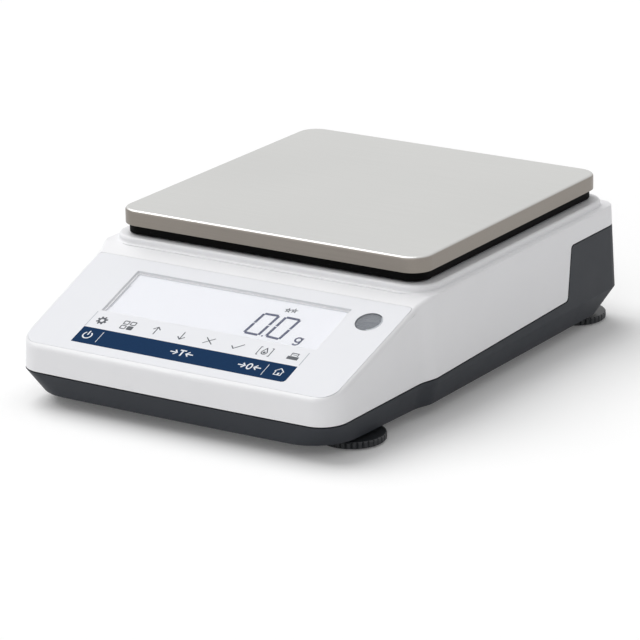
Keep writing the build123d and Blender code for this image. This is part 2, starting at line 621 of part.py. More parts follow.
def make_weighing_pan():
    """Pressed stainless sheet with a turned-down skirt."""
    outer = rounded_slab(PAN_SIZE, PAN_SIZE, PAN_CORNER, PAN_TOP - PAN_SKIRT, PAN_TOP)
    outer = fillet(outer.faces().sort_by(Axis.Z)[-1].edges(), PAN_EDGE)
    inner_size = PAN_SIZE - 2 * PAN_SHEET
    inner = rounded_slab(inner_size, inner_size, PAN_CORNER - PAN_SHEET, PAN_TOP - PAN_SKIRT, PAN_TOP - PAN_SHEET)
    return outer - inner


def make_pan_support():
    """Ribbed black plate with a rim, a hub and a skirt ring round the collar."""
    rim = rounded_slab(SUPPORT_SIZE, SUPPORT_SIZE, SUPPORT_CORNER, SUPPORT_RIM_Z, SUPPORT_TOP)
    rim = fillet(rim.faces().sort_by(Axis.Z)[-1].edges(), 1.0)
    hollow = SUPPORT_SIZE - 2 * SUPPORT_RIB
    plate_z = SUPPORT_TOP - SUPPORT_PLATE
    rim -= rounded_slab(hollow, hollow, SUPPORT_CORNER - SUPPORT_RIB, SUPPORT_RIM_Z, plate_z)
    reach = SUPPORT_SIZE / 2 - SUPPORT_RIB
    ribs = block(-reach, reach, PAN_Y - SUPPORT_RIB / 2, PAN_Y + SUPPORT_RIB / 2, plate_z - RIB_HEIGHT, plate_z)
    ribs += block(-SUPPORT_RIB / 2, SUPPORT_RIB / 2, PAN_Y - reach, PAN_Y + reach, plate_z - RIB_HEIGHT, plate_z)
    diagonal = 2 * BUMPER_REACH * math.sqrt(2)
    for turn in (45, -45):
        bar = Box(diagonal, SUPPORT_RIB, RIB_HEIGHT)
        ribs += Pos(0, PAN_Y, plate_z - RIB_HEIGHT / 2) * Rot(0, 0, turn) * bar
    ring_in = POST_HOLE_RADIUS + COLLAR_WALL + SKIRT_RING_GAP
    ribs -= rod(0, PAN_Y, SUPPORT_RIM_Z, plate_z, ring_in)
    ring = rod(0, PAN_Y, SKIRT_RING_Z, plate_z, ring_in + SUPPORT_RIB) - rod(0, PAN_Y, SKIRT_RING_Z, plate_z, ring_in)
    hub = rod(0, PAN_Y, POST_SHOULDER_Z, SUPPORT_TOP, HUB_RADIUS)
    support = rim + ribs + ring + hub
    support -= rod(0, PAN_Y, POST_SHOULDER_Z, POST_SHOULDER_Z + SPIGOT_HEIGHT, SPIGOT_RADIUS + FIT)
    support -= rod(0, PAN_Y, POST_SHOULDER_Z, SUPPORT_TOP, M4 + 0.2)
    support -= rod(0, PAN_Y, SUPPORT_TOP - 1.6, SUPPORT_TOP, 4.4)
    for x, y in bumper_places():
        support -= rod(x, y, plate_z - RIB_HEIGHT - 1, SUPPORT_TOP, BUMPER_STEM)
    return support


def bumper_places():
    return [(sx * BUMPER_REACH, PAN_Y + sy * BUMPER_REACH) for sx in (-1, 1) for sy in (-1, 1)]


def make_pan_bumpers():
    """Rubber buttons that the pan rests on, each with a stem in the support."""
    bumpers = []
    for x, y in bumper_places():
        button = rod(x, y, SUPPORT_TOP, SUPPORT_TOP + BUMPER_HEIGHT, BUMPER_RADIUS)
        button = chamfer(button.edges().sort_by(Axis.Z)[-1], 0.8)
        bumpers.append(button + rod(x, y, SUPPORT_TOP - SUPPORT_PLATE, SUPPORT_TOP, BUMPER_STEM))
    return bumpers


def make_support_screw():
    return screw(0, PAN_Y, SUPPORT_TOP - 1.6, POST_SHOULDER_Z - 8, M4, 4.0, 1.8)


def make_load_post():
    """Turned post from the load arm up through the collar."""
    post = rod(0, PAN_Y, ARM_TOP, POST_SHOULDER_Z, POST_RADIUS)
    post += rod(0, PAN_Y, ARM_TOP, ARM_TOP + 2.5, POST_RADIUS + 3.5)
    post += rod(0, PAN_Y, POST_SHOULDER_Z, POST_SHOULDER_Z + SPIGOT_HEIGHT, SPIGOT_RADIUS)
    post -= rod(0, PAN_Y, POST_SHOULDER_Z - 9, FAR / 4, M4 + FIT)
    return post


def make_load_arm():
    """Cast arm from the free end of the load cell to the middle of the pan."""
    front = CELL_FRONT
    tip = PAN_Y + POST_RADIUS + 4
    arm = block(-ARM_WIDTH / 2, ARM_WIDTH / 2, front, PAN_Y, ARM_Z, ARM_TOP)
    arm += rod(0, PAN_Y, ARM_Z, ARM_TOP, tip - PAN_Y)
    arm += block(-ARM_WIDTH / 2, ARM_WIDTH / 2, front, front + CELL_END, CELL_TOP, ARM_Z)
    # Side webs that stiffen the arm, and a light pocket between them
    arm -= block(-ARM_WIDTH / 2 + 3, ARM_WIDTH / 2 - 3, front + CELL_END + 2, PAN_Y - tip + PAN_Y - 2, ARM_Z + 2.5, ARM_TOP)
    for x, y in arm_bolt_places():
        arm -= rod(x, y, CELL_TOP, ARM_TOP, M5 + 0.2)
    return arm


def arm_bolt_places():
    return [(0, CELL_FRONT + CELL_END * share) for share in (0.28, 0.72)]


def make_arm_bolts():
    return [screw(x, y, ARM_TOP, CELL_TOP - 10, M5, 4.2, 4.5) for x, y in arm_bolt_places()]


def make_load_cell():
    """Parallel-guide cell: a block with two round openings joined by a slot, thin above and below each."""
    cell = block(-CELL_WIDTH / 2, CELL_WIDTH / 2, CELL_FRONT, CELL_REAR, CELL_Z, CELL_TOP)
    cell = chamfer(cell.edges().filter_by(Axis.Z), 1.0)
    mid_z = (CELL_Z + CELL_TOP) / 2
    for side in (-1, 1):
        y = PAN_Y + side * CELL_HOLE_PITCH / 2
        cell -= Pos(0, y, mid_z) * Rot(0, 90, 0) * Cylinder(CELL_HOLE_RADIUS, CELL_WIDTH + 2)
    half = CELL_HOLE_PITCH / 2
    cell -= block(-CELL_WIDTH, CELL_WIDTH, PAN_Y - half, PAN_Y + half, mid_z - CELL_SLOT / 2, mid_z + CELL_SLOT / 2)
    for x, y in arm_bolt_places():
        cell -= rod(x, y, CELL_TOP - 12, CELL_TOP, M5 + FIT)
    for x, y in cell_bolt_places():
        cell -= rod(x, y, CELL_Z, CELL_Z + 12, M6 + FIT)
    return cell


def make_strain_gauges():
    """Sealed foil gauges over the four thin places."""
    pads = []
    for side in (-1, 1):
        y = PAN_Y + side * CELL_HOLE_PITCH / 2
        for z0 in (CELL_TOP, CELL_Z - 0.4):
            pads.append(block(-5, 5, y - 6, y + 6, z0, z0 + 0.4))
    return pads


def cell_bolt_places():
    return [(0, CELL_REAR - CELL_END * share) for share in (0.28, 0.72)]


def make_cell_spacer():
    spacer = block(-CELL_WIDTH / 2, CELL_WIDTH / 2, CELL_REAR - CELL_END, CELL_REAR, CHASSIS_TOP, CELL_Z)
    for x, y in cell_bolt_places():
        spacer -= rod(x, y, CHASSIS_TOP, CELL_Z, M6 + 0.2)
    return spacer


def make_cell_bolts():
    return [screw(x, y, CHASSIS_Z, CELL_Z + 11, M6, 5.0, 4.0) for x, y in cell_bolt_places()]


def make_chassis():
    """Die-cast plate that carries the load cell, with a rim and lightening windows."""
    y0 = CELL_FRONT - CHASSIS_MARGIN
    y1 = CELL_REAR + CHASSIS_MARGIN / 2
    w = CHASSIS_HALF_WIDTH
    plate = block(-w, w, y0, y1, CHASSIS_Z, CHASSIS_TOP)
    plate = fillet(plate.edges().filter_by(Axis.Z), 6)
    rim = block(-w, w, y0, y1, CHASSIS_TOP, CHASSIS_TOP + CHASSIS_RIM)
    rim = fillet(rim.edges().filter_by(Axis.Z), 6)
    hollow = block(-w + 3, w - 3, y0 + 3, y1 - 3, CHASSIS_TOP, CHASSIS_TOP + CHASSIS_RIM)
    hollow = fillet(hollow.edges().filter_by(Axis.Z), 3)
    plate += rim - hollow
    windows = [(-32, -20), (20, 32)]
    for x0, x1 in windows:
        for k in range(3):
            y = CELL_FRONT + 16 + k * 32
            cut = block(x0, x1, y, y + 22, CHASSIS_Z, CHASSIS_TOP)
            plate -= fillet(cut.edges().filter_by(Axis.Z), 3)
    for x, y in chassis_screw_places():
        plate -= rod(x, y, CHASSIS_Z, CHASSIS_TOP, M4 + 0.2)
    for x, y in cell_bolt_places():
        plate -= rod(x, y, CHASSIS_Z, CHASSIS_TOP, M6 + 0.2)
    x, y = stop_place()
    return plate - rod(x, y, CHASSIS_Z, CHASSIS_TOP, M5 + FIT)


def make_chassis_screws():
    return [screw(x, y, CHASSIS_TOP, FLOOR_Z + 1, M4, 3.6, 2.2) for x, y in chassis_screw_places()]


def stop_place():
    return (0, CELL_FRONT + CELL_END / 2)


def make_overload_stop():
    """Set screw below the free end, with its lock nut under the chassis."""
    x, y = stop_place()
    stud = rod(x, y, CHASSIS_Z - 3.2, CELL_Z - STOP_GAP, M5)
    nut = Pos(x, y, CHASSIS_Z - 2.7) * extrude(RegularPolygon(4.6, 6), 2.7)
    return stud + nut


def make_main_board():
    board = block(-BOARD_HALF_WIDTH, BOARD_HALF_WIDTH, BOARD_FRONT_Y, BOARD_REAR_Y, BOARD_Z, BOARD_TOP_Z)
    # Converter under its screening can, processor and cable connectors
    board += block(-8, 8, BOARD_FRONT_Y + 2, BOARD_FRONT_Y + 12, BOARD_TOP_Z, BOARD_TOP_Z + 3)
    board += block(34, 46, BOARD_FRONT_Y + 7, BOARD_FRONT_Y + 19, BOARD_TOP_Z, BOARD_TOP_Z + 1.4)
    board += block(-44, -28, BOARD_FRONT_Y + 1, BOARD_FRONT_Y + 5, BOARD_TOP_Z, BOARD_TOP_Z + 4)
    for x, y in board_screw_places():
        board -= rod(x, y, BOARD_Z, BOARD_TOP_Z, M3 + 0.2)
    return board


def make_board_screws():
    return [screw(x, y, BOARD_TOP_Z, BOARD_Z - 8, M3, 2.7, 1.8) for x, y in board_screw_places()]


def rear_face_y(z):
    """Outer face of the rear wall at a height, with its draft."""
    return REAR_Y - (z - SEAM_Z) * DRAFT_RATE


def make_power_socket():
    """Low-voltage inlet: a round opening with a centre pin."""
    z0 = BOARD_TOP_Z
    z1 = z0 + 11
    face_y = rear_face_y(z1) - 0.2
    body = block(POWER_X - 5, POWER_X + 5, face_y - 14, face_y, z0, z1)
    mid_z = (z0 + z1) / 2
    body -= Pos(POWER_X, face_y - 4.5, mid_z) * Rot(90, 0, 0) * Cylinder(3.1, 9.01)
    return body + Pos(POWER_X, face_y - 5, mid_z) * Rot(90, 0, 0) * Cylinder(1.0, 9)


def make_usb_socket():
    """Square data socket with two bevelled corners and its tongue."""
    z0 = BOARD_TOP_Z
    z1 = z0 + 11
    face_y = rear_face_y(z1) - 0.2
    body = block(USB_X - 6, USB_X + 6, face_y - 16, face_y, z0, z1)
    mid_z = (z0 + z1) / 2
    hole = block(USB_X - 4.25, USB_X + 4.25, face_y - 9, face_y, mid_z - 3.9, mid_z + 3.9)
    upper = [e for e in hole.edges().filter_by(Axis.Y) if e.center().Z > mid_z]
    body -= chamfer(upper, 1.6)
    return body + block(USB_X - 2.8, USB_X + 2.8, face_y - 9, face_y - 1.2, mid_z - 1.6, mid_z + 1.6)


def make_serial_socket():
    """Nine-way socket: flange inside the wall, D-shaped shell and two hexagon nuts."""
    mid_z = BOARD_TOP_Z + 6.3
    flange_y = REAR_Y - WALL - 1.6
    body = block(SERIAL_X - 10, SERIAL_X + 10, flange_y - 9, flange_y, BOARD_TOP_Z, mid_z + 5)
    body += block(SERIAL_X - 15.4, SERIAL_X + 15.4, flange_y - 1, flange_y, mid_z - 6.2, mid_z + 6.2)
    face_y = rear_face_y(mid_z) - 0.2
    corners = [(-8.4, 4.1), (8.4, 4.1), (7.0, -4.1), (-7.0, -4.1)]
    shell_face = make_face(FilletPolyline(*corners, radius=2.0, close=True))
    depth = face_y - flange_y
    shell = Pos(SERIAL_X, flange_y, mid_z) * extrude(Plane.XZ * shell_face, -depth)
    body += shell
    for row, count in ((1.42, 5), (-1.42, 4)):
        for k in range(count):
            x = SERIAL_X + (k - (count - 1) / 2) * 2.77
            body -= Pos(x, face_y - 1.5, mid_z + row) * Rot(90, 0, 0) * Cylinder(0.6, 3.01, align=Align.CENTER)
    for side in (-1, 1):
        nut = Plane.XZ * RegularPolygon(2.8, 6)
        body += Pos(SERIAL_X + side * 12.5, flange_y, mid_z) * extrude(nut, -depth)
        body -= Pos(SERIAL_X + side * 12.5, face_y - 1.5, mid_z) * Rot(90, 0, 0) * Cylinder(1.3, 3.01)
    return body


def make_housing_screws():
    return [
        screw(x, y, SCREW_SEAT_Z, meet_z + 7, M3, SCREW_HEAD_RADIUS, SCREW_HEAD) for x, y, meet_z in HOUSING_SCREWS
    ]


def make_foot_inserts():
    inserts = []
    for x, y in FEET.values():
        sleeve = rod(x, y, FOOT_BOSS_TOP - INSERT_LENGTH, FOOT_BOSS_TOP, INSERT_RADIUS)
        inserts.append(sleeve - rod(x, y, 0, FOOT_BOSS_TOP, FOOT_SCREW + FIT))
    return inserts


def make_foot_wheel(x, y):
    """Notched thumb wheel with its screw; the pad sits in a pocket below."""
    wheel = rod(0, 0, WHEEL_BOTTOM, WHEEL_TOP, WHEEL_RADIUS)
    rims = wheel.edges().filter_by(GeomType.CIRCLE)
    wheel = chamfer(rims, 0.5)
    half = NOTCH_WIDTH / 2
    corners = [(WHEEL_RADIUS - NOTCH_DEPTH, 0), (WHEEL_RADIUS + 0.1, -half), (WHEEL_RADIUS + 0.1, half)]
    notch = extrude(make_face(Polyline(*corners, close=True)), WHEEL_TOP + 1)
    wheel -= [Rot(0, 0, 360.0 * k / WHEEL_NOTCHES) * notch for k in range(WHEEL_NOTCHES)]
    wheel -= rod(0, 0, 0, PAD_THICKNESS, PAD_RADIUS + PAD_CLEARANCE)
    wheel += rod(0, 0, WHEEL_TOP, WHEEL_TOP + HUB_STEP, HUB_STEP_RADIUS)
    wheel += rod(0, 0, WHEEL_TOP, FOOT_SCREW_TOP, FOOT_SCREW)
    return Pos(x, y, 0) * wheel


def make_foot_pad(x, y):
    pad = rod(x, y, 0, PAD_THICKNESS, PAD_RADIUS)
    return chamfer(pad.edges().sort_by(Axis.Z)[0], 0.5)


def write(node, shape):
    """One STEP file for each node; a list becomes a group of separate solids."""
    if isinstance(shape, list):
        shape = Compound(children=shape)
    shape.label = node
    export_step(shape, os.path.join("parts", node + ".step"))


def main():
    os.makedirs("parts", exist_ok=True)
    write("base_housing", make_base_housing())
    write("top_housing", make_top_housing())
    write("touch_film", make_touch_film())
    write("display_window", make_display_window())
    write("display_glass", make_display_glass())
    write("display_frame", make_display_frame())
    write("display_board", make_display_board())
    write("display_screws", make_display_screws())
    write("level_cup", make_level_cup())
    write("level_vial", make_level_vial())
    write("weighing_pan", make_weighing_pan())
    write("pan_support", make_pan_support())
    write("pan_bumpers", make_pan_bumpers())
    write("support_screw", make_support_screw())
    write("load_post", make_load_post())
    write("load_arm", make_load_arm())
    write("arm_bolts", make_arm_bolts())
    write("load_cell", make_load_cell())
    write("strain_gauges", make_strain_gauges())
    write("cell_spacer", make_cell_spacer())
    write("cell_bolts", make_cell_bolts())
    write("chassis", make_chassis())
    write("chassis_screws", make_chassis_screws())
    write("overload_stop", make_overload_stop())
    write("main_board", make_main_board())
    write("board_screws", make_board_screws())
    write("power_socket", make_power_socket())
    write("usb_socket", make_usb_socket())
    write("serial_socket", make_serial_socket())
    write("housing_screws", make_housing_screws())
    write("foot_inserts", make_foot_inserts())
    for place, (x, y) in FEET.items():
        write("foot_wheel_" + place, make_foot_wheel(x, y))
        write("foot_pad_" + place, make_foot_pad(x, y))


main()
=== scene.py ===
import math

import bpy
import numpy as np
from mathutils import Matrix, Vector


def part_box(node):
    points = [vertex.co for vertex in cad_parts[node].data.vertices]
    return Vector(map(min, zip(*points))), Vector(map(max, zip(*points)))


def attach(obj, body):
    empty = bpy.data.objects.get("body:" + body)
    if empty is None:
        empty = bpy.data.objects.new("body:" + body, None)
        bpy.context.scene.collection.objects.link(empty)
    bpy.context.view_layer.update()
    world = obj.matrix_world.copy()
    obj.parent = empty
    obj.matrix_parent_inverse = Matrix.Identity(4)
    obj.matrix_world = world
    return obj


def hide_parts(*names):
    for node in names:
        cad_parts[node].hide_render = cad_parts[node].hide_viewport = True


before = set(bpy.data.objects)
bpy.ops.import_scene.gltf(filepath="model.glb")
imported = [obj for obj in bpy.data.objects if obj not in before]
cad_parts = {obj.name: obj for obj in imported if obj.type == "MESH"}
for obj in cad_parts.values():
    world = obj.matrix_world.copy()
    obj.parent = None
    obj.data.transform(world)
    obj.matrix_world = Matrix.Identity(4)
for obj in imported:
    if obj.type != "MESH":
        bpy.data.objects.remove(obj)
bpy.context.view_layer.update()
scene = bpy.context.scene
scene.view_settings.view_transform = "Standard"

MM = 0.001

# The sloped panel, as in the CAD: its front edge, and its tilt
PANEL_Y = -134.5
PANEL_Z = 32.0
TILT = math.radians(20)
# The window pane lies flush with the keypad film; the display glass is this far below it
GLASS_DEPTH = 1.6
# Seen from the front right, a mark on the glass looks shifted to its place on the panel by this much a mm
SIGHT_X = -0.918
SIGHT_S = 1.14
# Opening of the film round the window, and its middle up the slope
WINDOW_HALF_X = 63.2
WINDOW_HALF_S = 17.15
WINDOW_S = 51.2
# Middle of the round level on the panel, and its hole
LEVEL_X = 76.8
LEVEL_S = 61.6
LEVEL_HOLE = 7.0
# Height of a printed mark over what carries it, drawn thicker than real ink so that it stays clear of the film
INK = 0.03


def linear(code):
    """sRGB hex colour to linear red, green, blue, alpha."""
    parts = [int(code[i : i + 2], 16) / 255 for i in (1, 3, 5)]
    return tuple(c / 12.92 if c <= 0.04045 else ((c + 0.055) / 1.055) ** 2.4 for c in parts) + (1.0,)


def add(tree, kind, inputs=(), **settings):
    """Adds a node; settings are its properties and inputs are pairs of socket and value or link."""
    node = tree.nodes.new(kind)
    for name, value in settings.items():
        setattr(node, name, value)
    for socket, value in inputs:
        if isinstance(value, bpy.types.NodeSocket):
            tree.links.new(value, node.inputs[socket])
        else:
            node.inputs[socket].default_value = value
    return node


def new_material(name):
    """Empty material with its Principled shader and an output."""
    material = bpy.data.materials.new(name)
    material.use_nodes = True
    tree = material.node_tree
    tree.nodes.clear()
    shader = add(tree, "ShaderNodeBsdfPrincipled")
    add(tree, "ShaderNodeOutputMaterial", [("Surface", shader.outputs[0])])
    return material, tree, shader


def moulded_plastic(name, colour, shade, roughness, grain_mm, depth, specular=0.5):
    """Moulded plastic: grain of its mould in bump and gloss, slow clouds in tone, and faint handling marks in gloss."""
    material, tree, shader = new_material(name)
    place = add(tree, "ShaderNodeTexCoord").outputs["Object"]
    grain = add(
        tree, "ShaderNodeTexNoise",
        [("Vector", place), ("Scale", 1 / (grain_mm * MM)), ("Detail", 2.0), ("Roughness", 0.6)],
    )
    cloud = add(tree, "ShaderNodeTexNoise", [("Vector", place), ("Scale", 1 / (35 * MM)), ("Detail", 3.0)])
    tone = add(
        tree, "ShaderNodeMix",
        [("Factor", cloud.outputs["Fac"]), ("A", linear(colour)), ("B", linear(shade))],
        data_type="RGBA",
    )
    handling = add(
        tree, "ShaderNodeTexNoise",
        [("Vector", place), ("Scale", 1 / (14 * MM)), ("Detail", 4.0), ("Distortion", 0.8)],
    )
    mixed = add(
        tree, "ShaderNodeMath",
        [(0, grain.outputs["Fac"]), (1, handling.outputs["Fac"])],
        operation="ADD",
    )
    gloss = add(
        tree, "ShaderNodeMapRange",
        [("Value", mixed.outputs[0]), ("From Max", 2.0), ("To Min", roughness - 0.1), ("To Max", roughness + 0.1)],
    )
    bump = add(
        tree, "ShaderNodeBump",
        [("Height", grain.outputs["Fac"]), ("Distance", depth * MM), ("Strength", 0.5)],
    )
    tree.links.new(tone.outputs["Result"], shader.inputs["Base Color"])
    tree.links.new(gloss.outputs["Result"], shader.inputs["Roughness"])
    tree.links.new(bump.outputs["Normal"], shader.inputs["Normal"])
    shader.inputs["IOR"].default_value = 1.5
    shader.inputs["Specular IOR Level"].default_value = specular
    return material


def brushed_metal(name, colour, shade, roughness, across_mm, along_mm, axis, depth):
    """Ground or brushed metal: long fine scratches along one axis, in tone, gloss and bump."""
    material, tree, shader = new_material(name)
    place = add(tree, "ShaderNodeTexCoord").outputs["Object"]
    scale = [1 / (across_mm * MM)] * 3
    scale["XYZ".index(axis)] = 1 / (along_mm * MM)
    stretched = add(tree, "ShaderNodeMapping", [("Vector", place), ("Scale", scale)])
    lines = add(
        tree, "ShaderNodeTexNoise",
        [("Vector", stretched.outputs[0]), ("Scale", 1.0), ("Detail", 3.0), ("Roughness", 0.65)],
    )
    tone = add(
        tree, "ShaderNodeMix",
        [("Factor", lines.outputs["Fac"]), ("A", linear(colour)), ("B", linear(shade))],
        data_type="RGBA",
    )
    gloss = add(
        tree, "ShaderNodeMapRange",
        [("Value", lines.outputs["Fac"]), ("To Min", roughness - 0.08), ("To Max", roughness + 0.08)],
    )
    bump = add(
        tree, "ShaderNodeBump",
        [("Height", lines.outputs["Fac"]), ("Distance", depth * MM), ("Strength", 0.6)],
    )
    tree.links.new(tone.outputs["Result"], shader.inputs["Base Color"])
    tree.links.new(gloss.outputs["Result"], shader.inputs["Roughness"])
    tree.links.new(bump.outputs["Normal"], shader.inputs["Normal"])
    shader.inputs["Metallic"].default_value = 1.0
    return material


def pressed_steel(name, face, skirt, bend_mm, roughness):
    """Brushed sheet with a turned-down skirt: scratches run across the top, and below the bend the tone is darker
    and warmer, a painted shade for the dimmer reflection of the upright skirt."""
    material, tree, shader = new_material(name)
    place = add(tree, "ShaderNodeTexCoord").outputs["Object"]
    stretched = add(
        tree, "ShaderNodeMapping",
        [("Vector", place), ("Scale", [1 / (60 * MM), 1 / (0.5 * MM), 1 / (0.5 * MM)])],
    )
    lines = add(
        tree, "ShaderNodeTexNoise",
        [("Vector", stretched.outputs[0]), ("Scale", 1.0), ("Detail", 4.0), ("Roughness", 0.7)],
    )
    wide = add(tree, "ShaderNodeTexNoise", [("Vector", place), ("Scale", 1 / (90 * MM)), ("Detail", 1.0)])
    height = add(tree, "ShaderNodeSeparateXYZ", [("Vector", place)])
    # Painted shade: this ramp turns the darker, warmer skirt tone below the bend into the face tone above it
    painted_shade_ramp = add(
        tree, "ShaderNodeMapRange",
        [("Value", height.outputs["Z"]), ("From Min", (bend_mm - 0.3) * MM), ("From Max", (bend_mm + 0.25) * MM)],
    )
    light = add(
        tree, "ShaderNodeMix",
        [("Factor", lines.outputs["Fac"]), ("A", linear(face[0])), ("B", linear(face[1]))],
        data_type="RGBA",
    )
    painted_skirt_shade = add(
        tree, "ShaderNodeMix",
        [("Factor", lines.outputs["Fac"]), ("A", linear(skirt[0])), ("B", linear(skirt[1]))],
        data_type="RGBA",
    )
    tone = add(
        tree, "ShaderNodeMix",
        [("Factor", painted_shade_ramp.outputs["Result"]), ("A", painted_skirt_shade.outputs["Result"]), ("B", light.outputs["Result"])],
        data_type="RGBA",
    )
    both = add(tree, "ShaderNodeMath", [(0, lines.outputs["Fac"]), (1, wide.outputs["Fac"])], operation="ADD")
    gloss = add(
        tree, "ShaderNodeMapRange",
        [("Value", both.outputs[0]), ("From Max", 2.0), ("To Min", roughness - 0.12), ("To Max", roughness + 0.12)],
    )
    bump = add(
        tree, "ShaderNodeBump",
        [("Height", lines.outputs["Fac"]), ("Distance", 0.008 * MM), ("Strength", 0.6)],
    )
    tree.links.new(tone.outputs["Result"], shader.inputs["Base Color"])
    tree.links.new(gloss.outputs["Result"], shader.inputs["Roughness"])
    tree.links.new(bump.outputs["Normal"], shader.inputs["Normal"])
    shader.inputs["Metallic"].default_value = 1.0
    return material


def printed_ink(name, colour, shade, roughness, specular=0.2):
    """Screen-printed ink: flat colour with a faint mottle of the print."""
    material, tree, shader = new_material(name)
    place = add(tree, "ShaderNodeTexCoord").outputs["Object"]
    mottle = add(tree, "ShaderNodeTexNoise", [("Vector", place), ("Scale", 1 / (1.2 * MM)), ("Detail", 2.0)])
    tone = add(
        tree, "ShaderNodeMix",
        [("Factor", mottle.outputs["Fac"]), ("A", linear(colour)), ("B", linear(shade))],
        data_type="RGBA",
    )
    tree.links.new(tone.outputs["Result"], shader.inputs["Base Color"])
    shader.inputs["Roughness"].default_value = roughness
    shader.inputs["Specular IOR Level"].default_value = specular
    return material


def clear_pane(name, colour, alpha, roughness, specular=0.5):
    """Thin clear acrylic: nearly all light passes, and the gloss stays on the surface."""
    material, tree, shader = new_material(name)
    place = add(tree, "ShaderNodeTexCoord").outputs["Object"]
    haze = add(tree, "ShaderNodeTexNoise", [("Vector", place), ("Scale", 1 / (9 * MM)), ("Detail", 3.0)])
    gloss = add(
        tree, "ShaderNodeMapRange",
        [("Value", haze.outputs["Fac"]), ("To Min", roughness - 0.03), ("To Max", roughness + 0.03)],
    )
    tree.links.new(gloss.outputs["Result"], shader.inputs["Roughness"])
    shader.inputs["Base Color"].default_value = linear(colour)
    shader.inputs["Alpha"].default_value = alpha
    shader.inputs["IOR"].default_value = 1.49
    shader.inputs["Specular IOR Level"].default_value = specular
    return material


def lit_display(name, colour, shade, glow):
    """White backlit display: an even milky face with a little light of its own."""
    material, tree, shader = new_material(name)
    place = add(tree, "ShaderNodeTexCoord").outputs["Object"]
    cloud = add(tree, "ShaderNodeTexNoise", [("Vector", place), ("Scale", 1 / (50 * MM)), ("Detail", 2.0)])
    tone = add(
        tree, "ShaderNodeMix",
        [("Factor", cloud.outputs["Fac"]), ("A", linear(colour)), ("B", linear(shade))],
        data_type="RGBA",
    )
    tree.links.new(tone.outputs["Result"], shader.inputs["Base Color"])
    shader.inputs["Roughness"].default_value = 0.4
    shader.inputs["Specular IOR Level"].default_value = 0.2
    shader.inputs["Emission Color"].default_value = linear(colour)
    shader.inputs["Emission Strength"].default_value = glow
    return material


# Injection-moulded ASA in signal white: satin, with a spark-eroded grain that softens every highlight
WHITE = moulded_plastic("moulded_white_asa", "#efeff1", "#e9e9eb", 0.46, 0.5, 0.02, 0.4)
# The same plastic in slate grey: a coarser grain, so the base looks matt beside the top
SLATE = moulded_plastic("moulded_slate_asa", "#34373d", "#2e3136", 0.55, 0.6, 0.03, 0.25)
# Injection-moulded polyamide: nearly black, with a dull sheen on its edges only
BLACK = moulded_plastic("moulded_black_polyamide", "#060606", "#040404", 0.6, 0.4, 0.02, 0.05)
# Glass-filled nylon: black, a little shiny on the worn crests between the notches
WHEEL = moulded_plastic("moulded_black_nylon_wheel", "#24272b", "#1a1c1f", 0.46, 0.6, 0.05)
# White polycarbonate light box: smooth and a little warm beside the display
TRAY = moulded_plastic("moulded_white_frame", "#dcdcda", "#d2d2d0", 0.5, 0.5, 0.02)
# Grey acetal cup of the level: smooth, it reads as one with the lens
CUP = moulded_plastic("moulded_grey_acetal", "#6f747c", "#666b73", 0.4, 0.5, 0.01)
# Moulded rubber: matt, with a dry bloom and almost no highlight
RUBBER = moulded_plastic("moulded_rubber", "#1b1b1c", "#151516", 0.75, 0.7, 0.04, 0.3)
# Cured silicone over the gauges: lumpy and half glossy
SEALANT = moulded_plastic("cured_sealant", "#8a3b20", "#7a3018", 0.4, 2.0, 0.1)
# Back-printed polyester film: smoother and colder than the housing, with a very fine matt coat
FILM = moulded_plastic("printed_polyester_film", "#e4e5e9", "#e0e1e5", 0.4, 0.3, 0.006, 0.3)
# Fibreglass board under solder mask: dark green and glossy, with the weave faintly in the gloss
BOARD = moulded_plastic("solder_masked_board", "#1f5a32", "#17482a", 0.3, 1.4, 0.03)
# Pressed stainless sheet, brushed along the front: soft streaks that stretch each reflection; the darker, warmer skirt
# is painted shade
STEEL = pressed_steel("brushed_stainless_sheet", ("#c5c5c3", "#bcbcba"), ("#8f8982", "#857f78"), 78.5, 0.36)
# Zinc-plated steel: fine lathe marks under a slightly yellow, satin plating
ZINC = brushed_metal("zinc_plated_steel", "#b9b7ae", "#a6a49c", 0.36, 0.5, 4.0, "Z", 0.01)
# Drawn and nickel-plated shell: bright, warm and nearly smooth
SHELL = brushed_metal("nickel_plated_shell", "#bdbab2", "#aaa79e", 0.3, 0.6, 6.0, "X", 0.005)
# Turned aluminium: pale, with tool marks round it
TURNED = brushed_metal("turned_aluminium", "#c9cacc", "#b7b8ba", 0.32, 0.4, 12.0, "X", 0.01)
# Milled aluminium: pale, with cutter marks along it
MILLED = brushed_metal("milled_aluminium", "#cfd0d2", "#bcbdbf", 0.3, 0.6, 20.0, "Y", 0.01)
# Die-cast aluminium, tumbled: grey, dull and pebbled
CAST = brushed_metal("die_cast_aluminium", "#a9abad", "#959799", 0.55, 1.2, 1.6, "X", 0.05)
# Turned brass: yellow, with knurl and lathe marks
BRASS = brushed_metal("turned_brass", "#c79a52", "#b5873f", 0.3, 0.4, 8.0, "Z", 0.01)
# Cast acrylic pane with a hard coat: nothing but its faint gloss shows
PANE = clear_pane("clear_acrylic_window", "#f4f6fa", 0.06, 0.2, 0.3)
# Clear acrylic of the level's lens: glossy, a little cloudy from polishing
LENS = clear_pane("clear_acrylic_lens", "#c9ced6", 0.22, 0.12)
# Smoked film over the level: blue-grey, so the hole reads as one tone with the bubble dimly under it
SMOKED = clear_pane("smoked_acrylic_cover", "#868b93", 0.5, 0.25, 0.3)
# Liquid of the level over its grey floor: blue-grey and still
LIQUID = clear_pane("tinted_level_liquid", "#858a93", 1.0, 0.14)
# Air bubble in that liquid: paler, with a dark edge where it bends the light
BUBBLE = clear_pane("air_bubble", "#a9aeb6", 0.75, 0.1)
# Liquid-crystal glass lit from behind: milky, even, with a breath of light of its own; on the lower half of the window
# lip the same glow is painted light
DISPLAY_AND_LIP_GLOW = lit_display("white_display_glass_and_lip_glow", "#e9eaef", "#e6e7ec", 0.06)
